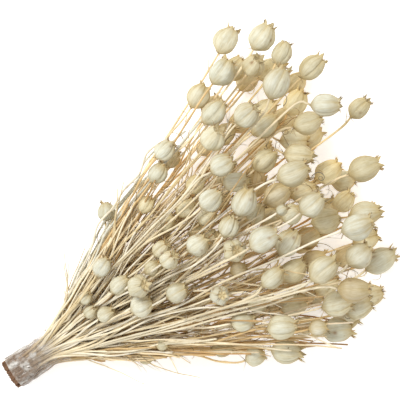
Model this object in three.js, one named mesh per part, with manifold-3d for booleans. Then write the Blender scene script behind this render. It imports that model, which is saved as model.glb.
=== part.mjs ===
// A bunch of dried nigella lying on its side: branched stems that end in seed pods, gathered at the
// cut end in a thin clear wrap. Units are millimetres, +Z is up and +X runs from the cut end to the
// pods. Every stem fans out from an apex inside the wrap, so a pod's place is given as a bearing in
// degrees (positive towards +Y) and a reach in millimetres from that apex.
import * as THREE from "three";
import { mergeVertices } from "three/addons/utils/BufferGeometryUtils.js";
import Module from "manifold-3d";

const wasm = await Module();
wasm.setup();

// Gathered end
const CUT_END = -14; // the cut ends of the stems, along X from the apex
const WAIST = 25; // where the gathered stems start to fan out
const WAIST_RADIUS = 15; // outside of the wrap at the waist, which lies on the surface
const WRAP_START = -8;
const WRAP_END = 38;
const WRAP_END_WIDTH = 23.5; // half width of the wrap's open mouth
const WRAP_END_HEIGHT = 17.5; // half height of the wrap's open mouth
const WRAP_END_RISE = 3; // how far the mouth's centre is above the waist's
const WRAP_INNER = 0.965; // inner size of the wrap as a share of its outer size
const WRAP_SIDES = 24;

// Stems
const MAIN_RADIUS = 0.8;
const BRANCH_RADIUS = 0.6;
const STEM_SIDES = 4;
const STEM_CLEAR = 0.3; // gap between a stem and the pods that pass over it
const FAN_START = 90; // reach from which a stem runs straight along its bearing
const FAN_KNEE = 200; // reach from which the layers keep their full distance
const FORK_BACK = 70; // a side branch leaves the main stem this far before its pod
const FORK_FIRST = 36; // and never nearer to the apex than this
const RISE_RUN = 4; // run of the short stalk that lifts a stem to its pod's base
const STAGGER = 1.2; // neighbouring stems of a layer run this much above or below its middle

// Pods don't all lie alike: each layer's pods are spread, in a fixed order, over the free height
// above its stems and over a range of tips.
const HEIGHT_STEP = 0.618;
const TIP_STEP = 0.326;
const TIP_RANGE = 9; // degrees either way

// The stems lie in four layers that spread apart from the waist to the pods. `row` is a layer's
// height in the gathered end, `spread` is half its width there, `head` is its height at the pods,
// `side` says whether its pods stand on the layer's stems (1) or hang below them (-1), and `room`
// is the height free for pods above its stems, as far out as the pods crowd together.
// A pod is [bearing, reach, length, width, turn, tip, lift]: turn is the angle of its axis from its
// bearing, tip is how far its crown points up, and lift is an extra height above the layer. The
// first pod of a sprig ends its main stem, and the others sit on side branches.
const LAYERS = {
  top: {
    row: 23.4, spread: 7.6, head: 85, side: 1, room: 33, color: 0xe9dfc3,
    sprigs: [
      [[17.2, 240, 21, 19, 0, 45], [18.3, 105, 17, 15, 5]],
      [[15, 305, 27, 20, 15], [15.3, 270, 21, 19, -6, 10], [14.8, 77, 12, 10, 0, 20]],
      [[12.3, 229, 20, 17, -14]],
      [[8, 320, 24, 17.5, -40], [8.8, 204, 20, 17, 0, 10]],
      [[7.6, 149, 16, 14, 0, 20], [7.2, 105, 19, 14], [6.4, 72, 13, 11, 0, 30]],
      [
        [3.1, 267, 26, 20, -12], [3.8, 149, 16, 14, 0, 30, 14], [4.6, 134, 15, 13],
        [2, 117, 19, 18, -10, 50, 14],
      ],
      [[4, 223, 24, 19, 28], [2.4, 174, 19, 17, 0, 10]],
      [[-1.3, 244, 10, 9, 0, 20], [1.7, 202, 18, 15, 27], [-0.5, 81, 15, 13, 0, 20]],
      [[-3.1, 266, 22, 19, 10], [-3.8, 197, 18, 18, 0, 75]],
      [[-4.6, 220, 25, 20], [-5.2, 110, 19, 18, -3]],
      [[-9.5, 290, 26, 20, -3], [-6.5, 140, 18, 16, 0, 15]],
      [[-12.4, 214, 21, 15, 20], [-12.3, 171, 16, 15, 0, 70]],
      [[-13.9, 283, 22, 20, 20], [-14.2, 253, 25, 20, 20]],
      [[-18.8, 272, 26, 19, -16]],
    ],
  },
  upper: {
    row: 17.8, spread: 11.5, head: 56, side: 1, room: 23.4, color: 0xe2d4b0,
    sprigs: [
      [[23, 287, 24, 20], [23.6, 210, 18, 16, -10], [22, 192, 18, 15]],
      [[21, 328, 24, 20, 2], [20, 257, 23.5, 18, -4]],
      [[19.5, 306, 20, 18, 0, 40], [19.6, 166, 16, 13]],
      [[17.5, 328, 20, 15.5, 12]],
      [[13, 335, 24, 17.5, -3], [13.5, 204, 18, 15]],
      [[12, 276, 24, 17, -9], [12.2, 166, 18, 15], [11.3, 185, 18, 15]],
      [[7.8, 303, 24, 18, -20], [8.3, 229, 22, 15, -30]],
      [[4.7, 281, 24, 19, -42], [7.5, 257, 22, 17], [6.2, 193, 17, 14, 0, 10]],
      [[4.6, 342, 20, 15, 8], [2.6, 142, 14, 12]],
      [[1.2, 248, 24, 18], [1.2, 186, 16, 14, 0, 40]],
      [[-2.6, 318, 27, 20, -9], [0.5, 226, 18, 15, 27]],
      [[-3.3, 250, 18, 16], [-3.2, 145, 14, 12]],
      [[-8.6, 302, 26, 19, -14], [-6.7, 272, 24, 19, -10], [-8.4, 192, 14, 12]],
      [[-7.7, 237, 24, 20, 30], [-12.8, 232, 24, 18, 15]],
      [[-16.1, 300, 27, 20, 14], [-17.4, 197, 16, 14]],
      [[-21.2, 258, 24, 20], [-20.5, 182, 19, 17]],
      [[-24.8, 240, 15, 14], [-23.6, 212, 24, 20, -5], [-23.8, 115, 10, 9]],
    ],
  },
  lower: {
    row: 12.2, spread: 11.5, head: 27, side: 1, room: 23.4, color: 0xd8c294,
    sprigs: [
      [[25, 312, 24, 19], [24, 262, 22, 18], [29, 143, 16, 14, 28]],
      [[21.6, 297, 22, 18], [21.7, 208, 18, 15]],
      [[17, 314, 24, 19, -15]],
      [[13.6, 287, 20, 17], [16, 250, 21, 17]],
      [[11.2, 308, 23.5, 18, 13], [10.8, 226, 20, 16]],
      [[6.9, 287, 24, 17, -38], [7.4, 210, 20, 16]],
      [[6.2, 242, 22, 17, 40, 30], [4.9, 180, 17, 14]],
      [[-0.3, 294, 24, 19], [-0.9, 269, 24, 18, -12], [1.5, 213, 18, 15], [-1.8, 236, 23, 17, -10]],
      [[-5.6, 293, 20, 17, 17], [-8.4, 254, 22, 18]],
      [[-12.4, 297, 22, 18], [-12.8, 252, 22, 18]],
      [[-17.7, 255, 22, 18, 25], [-19.8, 226, 24, 19]],
      [[-22.6, 276, 25, 20, 8]],
      [[-26.4, 257, 25, 20], [-27.4, 163, 18, 14]],
      [[-29.4, 214, 25, 20, -9], [-30.5, 189, 17, 16, 15], [-28.5, 100, 14, 12]],
    ],
  },
  bottom: {
    row: 6.6, spread: 7.6, head: 22.8, side: -1, room: 0, color: 0xd0b784,
    sprigs: [
      [[19, 298, 22, 18], [21, 262, 22, 18], [17.5, 235, 21, 17]],
      [[13.2, 322, 20, 16], [15.5, 268, 22, 18]],
      [[10.5, 294, 23, 18, 8], [11, 228, 21, 17], [9.5, 262, 22, 18, -6]],
      [[5.5, 300, 24, 19], [4.5, 240, 22, 17]],
      [[-2.8, 303, 21, 17, -20], [1.5, 270, 24, 18, -12], [-1.5, 240, 21, 17]],
      [[-5.5, 278, 22, 18, 5]],
      [[-9, 306, 23, 18, 6], [-9.5, 250, 22, 18, -8]],
      [[-16.5, 307, 23, 18], [-14.5, 280, 22, 18, 10], [-14, 230, 22, 17]],
      [[-21.5, 290, 23, 18], [-19.9, 243, 20, 17], [-20.5, 212, 20, 16]],
      [[-24.8, 267, 22, 18], [-25, 232, 20, 16, 5]],
      [[-28, 177, 21, 14, 5]],
    ],
  },
};

// Outline of a pod from its base to its crown: [share of the radius, share of the length]. The last
// two points are the crown's rim and the middle of the shallow dish inside it.
const POD_OUTLINE = [[0, 0], [0.62, 0.13], [1, 0.45], [0.8, 0.78], [0.52, 1], [0, 0.9]];
const POD_SIDES = 6;

const radians = THREE.MathUtils.degToRad;

// A point of the fan, at a height above the surface.
function fanPoint(bearing, reach, height) {
  const angle = radians(bearing);
  return new THREE.Vector3(reach * Math.cos(angle), reach * Math.sin(angle), height);
}

// A geometry's vertices, merged and without the flat triangles at a lathe's poles, as a solid.
function toSolid(geometry) {
  const bare = geometry.clone();
  bare.deleteAttribute("normal");
  bare.deleteAttribute("uv");
  const merged = mergeVertices(bare, 1e-5);
  const corners = merged.index.array;
  const kept = [];
  for (let i = 0; i < corners.length; i += 3) {
    const [a, b, c] = [corners[i], corners[i + 1], corners[i + 2]];
    if (a !== b && b !== c && c !== a) {
      kept.push(a, b, c);
    }
  }
  const mesh = new wasm.Mesh({
    numProp: 3,
    vertProperties: new Float32Array(merged.attributes.position.array),
    triVerts: new Uint32Array(kept),
  });
  return new wasm.Manifold(mesh);
}

function toGeometry(solid) {
  const mesh = solid.getMesh();
  const geometry = new THREE.BufferGeometry();
  geometry.setAttribute("position", new THREE.BufferAttribute(mesh.vertProperties, 3));
  geometry.setIndex(new THREE.BufferAttribute(mesh.triVerts, 1));
  geometry.computeVertexNormals();
  return geometry;
}

// A curve whose steps fall on its own points, so that a stem bends exactly where they say.
class StemCurve extends THREE.CatmullRomCurve3 {
  getUtoTmapping(u) {
    return u;
  }
}

function stemSolid(points, radius) {
  const section = new THREE.Shape();
  for (let side = 0; side < STEM_SIDES; side += 1) {
    const angle = (2 * Math.PI * side) / STEM_SIDES;
    const [x, y] = [radius * Math.cos(angle), radius * Math.sin(angle)];
    if (side === 0) {
      section.moveTo(x, y);
    } else {
      section.lineTo(x, y);
    }
  }
  section.closePath();
  const options = { steps: points.length - 1, extrudePath: new StemCurve(points) };
  return toSolid(new THREE.ExtrudeGeometry(section, options));
}

// Height of a layer's middle at a reach.
function layerHeight(layer, reach) {
  const share = THREE.MathUtils.clamp((reach - WAIST) / (FAN_KNEE - WAIST), 0, 1);
  return THREE.MathUtils.lerp(layer.row, layer.head, share);
}

// Where one pod of the table lies: its centre, the direction of its axis and the point of its base.
function placePod(layer, pod, order) {
  const [bearing, reach, length, width, turn = 0, tip = 0, lift = 0] = pod;
  const share = (order * HEIGHT_STEP) % 1;
  const tipShare = (order * TIP_STEP) % 1;
  const yaw = radians(bearing + turn);
  const pitch = radians(tip + TIP_RANGE * (2 * tipShare - 1));
  const axis = new THREE.Vector3(
    Math.cos(pitch) * Math.cos(yaw), Math.cos(pitch) * Math.sin(yaw), Math.sin(pitch),
  );
  const halfHeight = Math.hypot((length / 2) * Math.sin(pitch), (width / 2) * Math.cos(pitch));
  const stemTop = STAGGER + MAIN_RADIUS + STEM_CLEAR;
  const open = reach >= FAN_KNEE ? Math.max(0, layer.room - 2 * halfHeight) : 0;
  const height = layer.side > 0
    ? layerHeight(layer, reach) + stemTop + halfHeight + lift + open * share
    : halfHeight;
  const centre = fanPoint(bearing, reach, height);
  const base = centre.clone().addScaledVector(axis, -length / 2);
  return { centre, axis, base, length, width };
}

// A pod's solid: a lathe about its own Y axis, turned so that Y is the pod's axis and one corner of
// its section points straight down.
function podSolid({ axis, base, length, width }) {
  const outline = POD_OUTLINE.map(
    ([out, along]) => new THREE.Vector2((out * width) / 2, along * length),
  );
  const geometry = new THREE.LatheGeometry(outline, POD_SIDES);
  const level = new THREE.Vector3(0, 0, 1).cross(axis).normalize();
  const upright = new THREE.Vector3().crossVectors(level, axis).negate();
  const across = new THREE.Vector3().crossVectors(axis, upright);
  const turn = new THREE.Matrix4().makeBasis(across, axis, upright).setPosition(base);
  geometry.applyMatrix4(turn);
  return toSolid(geometry);
}

// The last two points of a stem: where its stalk leaves the layer, and its end inside the pod.
function stalkPoints(pod, stemHeight) {
  const heading = new THREE.Vector3(pod.axis.x, pod.axis.y, 0).normalize();
  const foot = pod.base.clone().addScaledVector(heading, -RISE_RUN);
  foot.z = stemHeight(Math.hypot(foot.x, foot.y));
  const end = pod.base.clone().addScaledVector(pod.axis, 0.08 * pod.length);
  return [foot, end];
}

// One sprig: a main stem from the cut end to its first pod, with the other pods on side branches.
function sprigSolid(layer, pods, index, firstOrder) {
  const offset = index % 2 === 0 ? STAGGER : -STAGGER;
  const stemHeight = (reach) => layerHeight(layer, reach) + offset;
  const places = pods.map((pod, i) => placePod(layer, pod, firstOrder + i));
  const gatheredY = layer.spread * (1 - (2 * index) / (layer.sprigs.length - 1));
  const [foot, end] = stalkPoints(places[0], stemHeight);
  const footReach = Math.hypot(foot.x, foot.y);
  const footBearing = THREE.MathUtils.radToDeg(Math.atan2(foot.y, foot.x));
  const onBearing = (reach) => fanPoint(footBearing, reach, stemHeight(reach));
  const waistPoint = new THREE.Vector3(WAIST, gatheredY, stemHeight(WAIST));
  const fanStart = onBearing(FAN_START);
  const onMain = (reach) => {
    if (reach >= FAN_START) {
      return onBearing(reach);
    }
    return waistPoint.clone().lerp(fanStart, (reach - WAIST) / (FAN_START - WAIST));
  };
  const mainReaches = [FAN_START, FAN_KNEE].filter((reach) => reach < footReach - RISE_RUN);
  const mainPoints = [
    new THREE.Vector3(CUT_END, gatheredY, stemHeight(CUT_END)),
    waistPoint,
    ...mainReaches.map(onBearing),
    foot,
    end,
  ];
  const parts = [stemSolid(mainPoints, MAIN_RADIUS), podSolid(places[0])];
  for (const place of places.slice(1)) {
    const [branchFoot, branchEnd] = stalkPoints(place, stemHeight);
    const branchReach = Math.hypot(branchFoot.x, branchFoot.y);
    const forkReach = Math.max(FORK_FIRST, branchReach - FORK_BACK);
    parts.push(stemSolid([onMain(forkReach), branchFoot, branchEnd], BRANCH_RADIUS), podSolid(place));
  }
  return wasm.Manifold.union(parts);
}

// The wrap: a lathe sleeve of unit radius, stretched over the gathered stems. It hugs the waist and
// opens into a wider, flatter mouth where the fan starts. Laying the lathe's Y axis along X mirrors
// the sleeve, so its outline runs inside first to keep the faces pointing out.
function wrapGeometry() {
  const stations = [WRAP_START, 10, WAIST, WRAP_END];
  const inner = stations.map((x) => new THREE.Vector2(WRAP_INNER, x));
  const outer = stations.map((x) => new THREE.Vector2(1, x)).reverse();
  const geometry = new THREE.LatheGeometry([...inner, ...outer, inner[0]], WRAP_SIDES);
  const position = geometry.attributes.position;
  for (let i = 0; i < position.count; i += 1) {
    const x = position.getY(i);
    const open = THREE.MathUtils.clamp((x - WAIST) / (WRAP_END - WAIST), 0, 1);
    const halfWidth = THREE.MathUtils.lerp(WAIST_RADIUS, WRAP_END_WIDTH, open);
    const halfHeight = THREE.MathUtils.lerp(WAIST_RADIUS, WRAP_END_HEIGHT, open);
    const middle = WAIST_RADIUS + WRAP_END_RISE * open;
    position.setXYZ(i, x, halfWidth * position.getX(i), middle + halfHeight * position.getZ(i));
  }
  return toGeometry(toSolid(geometry));
}

function sprigMesh(layerName, layer, pods, index) {
  const firstOrder = layer.sprigs.slice(0, index).flat().length;
  const solid = sprigSolid(layer, pods, index, firstOrder);
  const material = new THREE.MeshStandardMaterial({ color: layer.color, roughness: 0.85 });
  const mesh = new THREE.Mesh(toGeometry(solid), material);
  mesh.name = `sprig_${layerName}_${String(index + 1).padStart(2, "0")}`;
  return mesh;
}

function wrapMesh() {
  const material = new THREE.MeshStandardMaterial({ color: 0xd9d4c6, roughness: 0.35 });
  const mesh = new THREE.Mesh(wrapGeometry(), material);
  mesh.name = "wrap_film";
  return mesh;
}

const bunch = new THREE.Group();
bunch.add(wrapMesh());
for (const [layerName, layer] of Object.entries(LAYERS)) {
  layer.sprigs.forEach((pods, index) => bunch.add(sprigMesh(layerName, layer, pods, index)));
}

// The origin is under the middle of the whole bunch, on the surface that it lies on.
const box = new THREE.Box3().setFromObject(bunch);
const middle = box.getCenter(new THREE.Vector3());
bunch.position.set(-middle.x, -middle.y, -box.min.z);
bunch.updateMatrixWorld(true);

export default bunch;
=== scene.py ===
import math

import bpy
import numpy as np
from mathutils import Matrix, Vector, noise


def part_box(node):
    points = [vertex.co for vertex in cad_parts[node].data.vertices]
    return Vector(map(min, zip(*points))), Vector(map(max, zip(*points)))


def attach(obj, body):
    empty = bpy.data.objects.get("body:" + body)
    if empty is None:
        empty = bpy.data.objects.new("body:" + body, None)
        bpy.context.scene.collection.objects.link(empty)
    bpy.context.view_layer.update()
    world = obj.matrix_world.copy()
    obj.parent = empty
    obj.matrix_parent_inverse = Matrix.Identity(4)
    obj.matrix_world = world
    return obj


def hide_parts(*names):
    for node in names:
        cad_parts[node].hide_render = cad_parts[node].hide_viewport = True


# A bunch of dried nigella lying on its side: branched straw stems and papery seed pods around their
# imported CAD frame. The plan below repeats the frame's own: lengths are in millimetres from the fan's
# apex, and every piece is made in metres in the row frame.
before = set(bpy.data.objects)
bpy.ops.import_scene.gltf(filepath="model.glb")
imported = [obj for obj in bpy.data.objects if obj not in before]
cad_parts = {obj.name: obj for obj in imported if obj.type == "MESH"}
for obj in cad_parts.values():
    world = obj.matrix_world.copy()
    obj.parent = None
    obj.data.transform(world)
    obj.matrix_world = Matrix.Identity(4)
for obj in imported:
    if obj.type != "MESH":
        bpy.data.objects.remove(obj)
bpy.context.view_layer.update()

MM = 0.001
SEED = 20

# The gathered end, as the frame has it
CUT_END = -14.0
WAIST = 25.0
WAIST_RADIUS = 15.0
WRAP_START = -8.0
WRAP_END = 38.0
WRAP_END_WIDTH = 23.5
WRAP_END_HEIGHT = 17.5
WRAP_END_RISE = 3.0

# The stems and pods, as the frame has them
MAIN_RADIUS = 0.8
STEM_CLEAR = 0.3
FAN_START = 90.0
FAN_KNEE = 200.0
FORK_BACK = 70.0
FORK_FIRST = 36.0
STAGGER = 1.2
HEIGHT_STEP = 0.618
TIP_STEP = 0.326
TIP_RANGE = 9.0

# Each layer is (row, spread, head, side, room, sprigs): its height and half width in the gathered
# end, its height at the pods, whether its pods stand on its stems (1) or hang below them (-1), and
# the height free for its pods. A pod is (bearing, reach, length, width, tone, turn, tip, lift), and
# the first pod of a sprig ends its main stem.
LAYERS = {
    "top": (23.4, 7.6, 85.0, 1, 33.0, [
        [(17.2, 240, 21, 19, "i", 0, 45), (18.3, 105, 17, 15, "w", 5)],
        [(15, 305, 27, 20, "i", 15), (15.3, 270, 21, 19, "i", -6, 10),
         (14.8, 77, 12, 10, "i", 0, 20)],
        [(12.3, 229, 20, 17, "w", -14)],
        [(8, 320, 24, 17.5, "w", -40), (8.8, 204, 20, 17, "w", 0, 10)],
        [(7.6, 149, 16, 14, "y", 0, 20), (7.2, 105, 19, 14, "i"), (6.4, 72, 13, 11, "i", 0, 30)],
        [(3.1, 267, 26, 20, "y", -12), (3.8, 149, 16, 14, "i", 0, 30, 14),
         (4.6, 134, 15, 13, "t"), (2, 117, 19, 18, "i", -10, 50, 14)],
        [(4, 223, 24, 19, "w", 28), (2.4, 174, 19, 17, "w", 0, 10)],
        [(-1.3, 244, 10, 9, "g", 0, 20), (1.7, 202, 18, 15, "i", 27), (-0.5, 81, 15, 13, "i", 0, 20)],
        [(-3.1, 266, 22, 19, "i", 10), (-3.8, 197, 18, 18, "i", 0, 75)],
        [(-4.6, 220, 25, 20, "w"), (-5.2, 110, 19, 18, "w", -3)],
        [(-9.5, 290, 26, 20, "w", -3), (-6.5, 140, 18, 16, "i", 0, 15)],
        [(-12.4, 214, 21, 15, "i", 20), (-12.3, 171, 16, 15, "w", 0, 70)],
        [(-13.9, 283, 22, 20, "y", 20), (-14.2, 253, 25, 20, "y", 20)],
        [(-18.8, 272, 26, 19, "o", -16)],
    ]),
    "upper": (17.8, 11.5, 56.0, 1, 23.4, [
        [(23, 287, 24, 20, "g"), (23.6, 210, 18, 16, "w", -10), (22, 192, 18, 15, "g")],
        [(21, 328, 24, 20, "i", 2), (20, 257, 23.5, 18, "g", -4)],
        [(19.5, 306, 20, 18, "y", 0, 40), (19.6, 166, 16, 13, "y")],
        [(17.5, 328, 20, 15.5, "i", 12)],
        [(13, 335, 24, 17.5, "t", -3), (13.5, 204, 18, 15, "t")],
        [(12, 276, 24, 17, "y", -9), (12.2, 166, 18, 15, "t"), (11.3, 185, 18, 15, "t")],
        [(7.8, 303, 24, 18, "y", -20), (8.3, 229, 22, 15, "w", -30)],
        [(4.7, 281, 24, 19, "y", -42), (7.5, 257, 22, 17, "t"), (6.2, 193, 17, 14, "i", 0, 10)],
        [(4.6, 342, 20, 15, "t", 8), (2.6, 142, 14, 12, "t")],
        [(1.2, 248, 24, 18, "o"), (1.2, 186, 16, 14, "y", 0, 40)],
        [(-2.6, 318, 27, 20, "t", -9), (0.5, 226, 18, 15, "i", 27)],
        [(-3.3, 250, 18, 16, "i"), (-3.2, 145, 14, 12, "y")],
        [(-8.6, 302, 26, 19, "t", -14), (-6.7, 272, 24, 19, "y", -10), (-8.4, 192, 14, 12, "o")],
        [(-7.7, 237, 24, 20, "w", 30), (-12.8, 232, 24, 18, "y", 15)],
        [(-16.1, 300, 27, 20, "i", 14), (-17.4, 197, 16, 14, "i")],
        [(-21.2, 258, 24, 20, "i"), (-20.5, 182, 19, 17, "w")],
        [(-24.8, 240, 15, 14, "o"), (-23.6, 212, 24, 20, "i", -5), (-23.8, 115, 10, 9, "t")],
    ]),
    "lower": (12.2, 11.5, 27.0, 1, 23.4, [
        [(25, 312, 24, 19, "i"), (24, 262, 22, 18, "t"), (29, 143, 16, 14, "g", 28)],
        [(21.6, 297, 22, 18, "t"), (21.7, 208, 18, 15, "t")],
        [(17, 314, 24, 19, "y", -15)],
        [(13.6, 287, 20, 17, "t"), (16, 250, 21, 17, "t")],
        [(11.2, 308, 23.5, 18, "y", 13), (10.8, 226, 20, 16, "t")],
        [(6.9, 287, 24, 17, "w", -38), (7.4, 210, 20, 16, "t")],
        [(6.2, 242, 22, 17, "o", 40, 30), (4.9, 180, 17, 14, "t")],
        [(-0.3, 294, 24, 19, "t"), (-0.9, 269, 24, 18, "t", -12), (1.5, 213, 18, 15, "o"),
         (-1.8, 236, 23, 17, "t", -10)],
        [(-5.6, 293, 20, 17, "y", 17), (-8.4, 254, 22, 18, "o")],
        [(-12.4, 297, 22, 18, "t"), (-12.8, 252, 22, 18, "o")],
        [(-17.7, 255, 22, 18, "y", 25), (-19.8, 226, 24, 19, "i")],
        [(-22.6, 276, 25, 20, "y", 8)],
        [(-26.4, 257, 25, 20, "g"), (-27.4, 163, 18, 14, "t")],
        [(-29.4, 214, 25, 20, "i", -9), (-30.5, 189, 17, 16, "i", 15), (-28.5, 100, 14, 12, "t")],
    ]),
    "bottom": (6.6, 7.6, 22.8, -1, 0.0, [
        [(19, 298, 22, 18, "t"), (21, 262, 22, 18, "o"), (17.5, 235, 21, 17, "t")],
        [(13.2, 322, 20, 16, "t"), (15.5, 268, 22, 18, "y")],
        [(10.5, 294, 23, 18, "y", 8), (11, 228, 21, 17, "t"), (9.5, 262, 22, 18, "t", -6)],
        [(5.5, 300, 24, 19, "t"), (4.5, 240, 22, 17, "y")],
        [(-2.8, 303, 21, 17, "g", -20), (1.5, 270, 24, 18, "y", -12), (-1.5, 240, 21, 17, "t")],
        [(-5.5, 278, 22, 18, "t", 5)],
        [(-9, 306, 23, 18, "y", 6), (-9.5, 250, 22, 18, "t", -8)],
        [(-16.5, 307, 23, 18, "t"), (-14.5, 280, 22, 18, "y", 10), (-14, 230, 22, 17, "t")],
        [(-21.5, 290, 23, 18, "y"), (-19.9, 243, 20, 17, "g"), (-20.5, 212, 20, 16, "t")],
        [(-24.8, 267, 22, 18, "t"), (-25, 232, 20, 16, "y", 5)],
        [(-28, 177, 21, 14, "y", 5)],
    ]),
}
BOTTOM_TO_TOP = ["bottom", "lower", "upper", "top"]

# Colours as they look, 0 to 255. A pod is ivory, white, yellow, tan, ochre or grey.
TONES = {
    "i": (225, 220, 193),
    "w": (230, 229, 210),
    "y": (225, 215, 180),
    "t": (214, 203, 166),
    "o": (207, 187, 144),
    "g": (207, 206, 186),
}
# A pale cream: the straw of some loose stems, and the painted light on the pods' upper sides
BLEACHED_AND_PAINTED_LIGHT = (232, 233, 220)
# The painted shade on the pods' lower sides
PAINTED_SHADE_TAN = (190, 166, 116)
SCAR = (150, 108, 62)
CROWN_TAN = (212, 193, 144)
MOUTH = (230, 215, 172)
# The painted shade in the creases of the crown's star
PAINTED_CREASE_SHADE = (194, 170, 124)
BRISTLE = (178, 150, 104)
STRAWS = [
    (253, 247, 229), (249, 240, 214), (243, 230, 198), (232, 214, 172), (216, 191, 146),
    (194, 163, 115),
]
STEM_BASE = (132, 100, 76)
BROWN_START = 34.0  # where stems start to darken towards their cut ends
BROWN_LENGTH = 38.0
# Painted depth shade: the lowest stems are painted browner and darker for the shade deep in the bunch
PAINTED_DEPTH_SHADE = np.array([0.24, 0.42, 0.62])  # how much of each colour the lowest stems lose
# Painted light: how much each layer's colours are painted paler than its tones (the top layer's darker),
# to make up for the shade that the layers above cast on it. Pods are painted darker at the outer ends of
# the stems, and those at the fan's edges, which no layer shades, get a plain painted factor instead.
LAYER_SHADE = {
    "top": np.array([0.9, 0.9, 0.9]),
    "upper": np.array([1.06, 1.05, 1.01]),
    "lower": np.array([1.16, 1.13, 1.03]),
    "bottom": np.array([1.18, 1.11, 0.96]),
}
OUTER_SHADE = {"top": 0.93, "upper": 0.88, "lower": 1.05, "bottom": 1.0}
OUTER_REACHES = (220, 290)
EDGE_SHADE = np.array([0.93, 0.94, 0.95])
EDGE_BEARINGS = (15, 24)
EDGE_SHARE = 0.85
# How deep each layer's stems lie, as their share of the painted depth shade
STEM_SHADE_DEPTH = {"top": 0.0, "upper": 0.15, "lower": 0.4, "bottom": 0.6}

# The view, straight down
IMAGE_TILT = 33.0  # degrees that the bunch's length rises across the picture
VIEW_CENTRE = (194.8, 35.6)  # from the apex
VIEW_WIDTH = 320.0
VIEW_HEIGHT = 60.0  # above the surface, where VIEW_WIDTH is measured
LENS = 180.0
SENSOR = 36.0

# Mesh detail
STEM_STEP = 3.5
STEM_SIDES = 6
POD_SIDES = 80
LOBES = 5

# Places in a piece's list of materials
POD_SKIN = 0
STRAW_SKIN = 1


def linear(color):
    """A colour as it looks, 0 to 255, as linear light."""
    share = np.asarray(color, float) / 255
    return np.where(share <= 0.04045, share / 12.92, ((share + 0.055) / 1.055) ** 2.4)


def wrap_place():
    """Where the fan's apex is in the row frame, from the wrap's own box."""
    low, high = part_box("wrap_film")
    return np.array([low.x - WRAP_START * MM, (low.y + high.y) / 2, 0.0])


APEX = wrap_place()


class Piece:
    """Gathers closed tubes of points into one mesh, with a tint and a grain place at each point."""

    def __init__(self, name):
        self.name = name
        self.points, self.tints, self.grains = [], [], []
        self.quads, self.triangles = [], []
        self.count = 0

    def tube(self, rings, tint, grain, material):
        """rings is (rows, sides, 3) in millimetres from the apex; both ends are closed."""
        rows, sides = rings.shape[:2]
        body = rings.reshape(-1, 3).copy()
        body[:, 2] = np.maximum(body[:, 2], 0.02)
        ends = np.stack([body[:sides].mean(0), body[-sides:].mean(0)])
        tint = np.broadcast_to(tint, (rows, sides, 3))
        grain = np.broadcast_to(grain, (rows, sides, 3))
        self.points += [body, ends]
        self.tints += [tint.reshape(-1, 3), tint[0].mean(0)[None], tint[-1].mean(0)[None]]
        self.grains += [grain.reshape(-1, 3), grain[0].mean(0)[None], grain[-1].mean(0)[None]]
        index = self.count + np.arange(rows * sides).reshape(rows, sides)
        after = np.roll(index, -1, axis=1)
        quads = np.stack([index[:-1], after[:-1], after[1:], index[1:]], axis=-1).reshape(-1, 4)
        first, last = self.count + rows * sides, self.count + rows * sides + 1
        start = np.stack([np.full(sides, first), after[0], index[0]], axis=-1)
        end = np.stack([np.full(sides, last), index[-1], after[-1]], axis=-1)
        self.quads.append((quads, material))
        self.triangles.append((np.concatenate([start, end]), material))
        self.count += rows * sides + 2

    def build(self, materials, *nodes):
        """The mesh object, which rides on the one body and stands for the CAD nodes named."""
        points = np.concatenate(self.points) * MM + APEX
        groups = self.quads + self.triangles
        corners = np.concatenate([faces.ravel() for faces, _ in groups])
        sizes = np.concatenate([np.full(len(faces), faces.shape[1]) for faces, _ in groups])
        slots = np.concatenate([np.full(len(faces), material) for faces, material in groups])
        mesh = bpy.data.meshes.new(self.name)
        mesh.vertices.add(len(points))
        mesh.vertices.foreach_set("co", points.astype(np.float32).ravel())
        mesh.loops.add(len(corners))
        mesh.loops.foreach_set("vertex_index", corners.astype(np.int32))
        mesh.polygons.add(len(sizes))
        starts = np.concatenate([[0], np.cumsum(sizes)[:-1]])
        mesh.polygons.foreach_set("loop_start", starts.astype(np.int32))
        mesh.polygons.foreach_set("material_index", slots.astype(np.int32))
        mesh.polygons.foreach_set("use_smooth", np.ones(len(sizes), bool))
        tint = mesh.attributes.new("tint", "FLOAT_COLOR", "POINT")
        colors = np.concatenate([np.concatenate(self.tints), np.ones((self.count, 1))], axis=1)
        tint.data.foreach_set("color", colors.astype(np.float32).ravel())
        grain = mesh.attributes.new("grain", "FLOAT_VECTOR", "POINT")
        grain.data.foreach_set("vector", np.concatenate(self.grains).astype(np.float32).ravel())
        mesh.update(calc_edges=True)
        mesh.validate()
        piece = bpy.data.objects.new(self.name, mesh)
        bpy.context.scene.collection.objects.link(piece)
        for material in materials:
            mesh.materials.append(material)
        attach(piece, "root")
        if nodes:
            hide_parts(*nodes)
        return piece


# ---------------------------------------------------------------- curves and tubes


def smooth_path(points, step):
    """A smooth curve through the points, with its own points about step apart."""
    points = np.asarray(points, float)
    padded = np.concatenate([[2 * points[0] - points[1]], points, [2 * points[-1] - points[-2]]])
    dense = []
    share = np.linspace(0, 1, 12, endpoint=False)[:, None]
    for i in range(1, len(padded) - 2):
        before, start, end, after = padded[i - 1 : i + 3]
        slope_in, slope_out = (end - before) / 2, (after - start) / 2
        dense.append(
            (2 * share**3 - 3 * share**2 + 1) * start + (share**3 - 2 * share**2 + share) * slope_in
            + (3 * share**2 - 2 * share**3) * end + (share**3 - share**2) * slope_out
        )
    dense = np.concatenate([*dense, points[-1:]])
    along = np.concatenate([[0], np.cumsum(np.linalg.norm(np.diff(dense, axis=0), axis=1))])
    count = max(4, int(along[-1] / step) + 1)
    places = np.linspace(0, along[-1], count)
    return np.stack([np.interp(places, along, dense[:, k]) for k in range(3)], axis=1)


def lengths_along(path):
    """How far each point is along the path."""
    return np.concatenate([[0], np.cumsum(np.linalg.norm(np.diff(path, axis=0), axis=1))])


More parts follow.
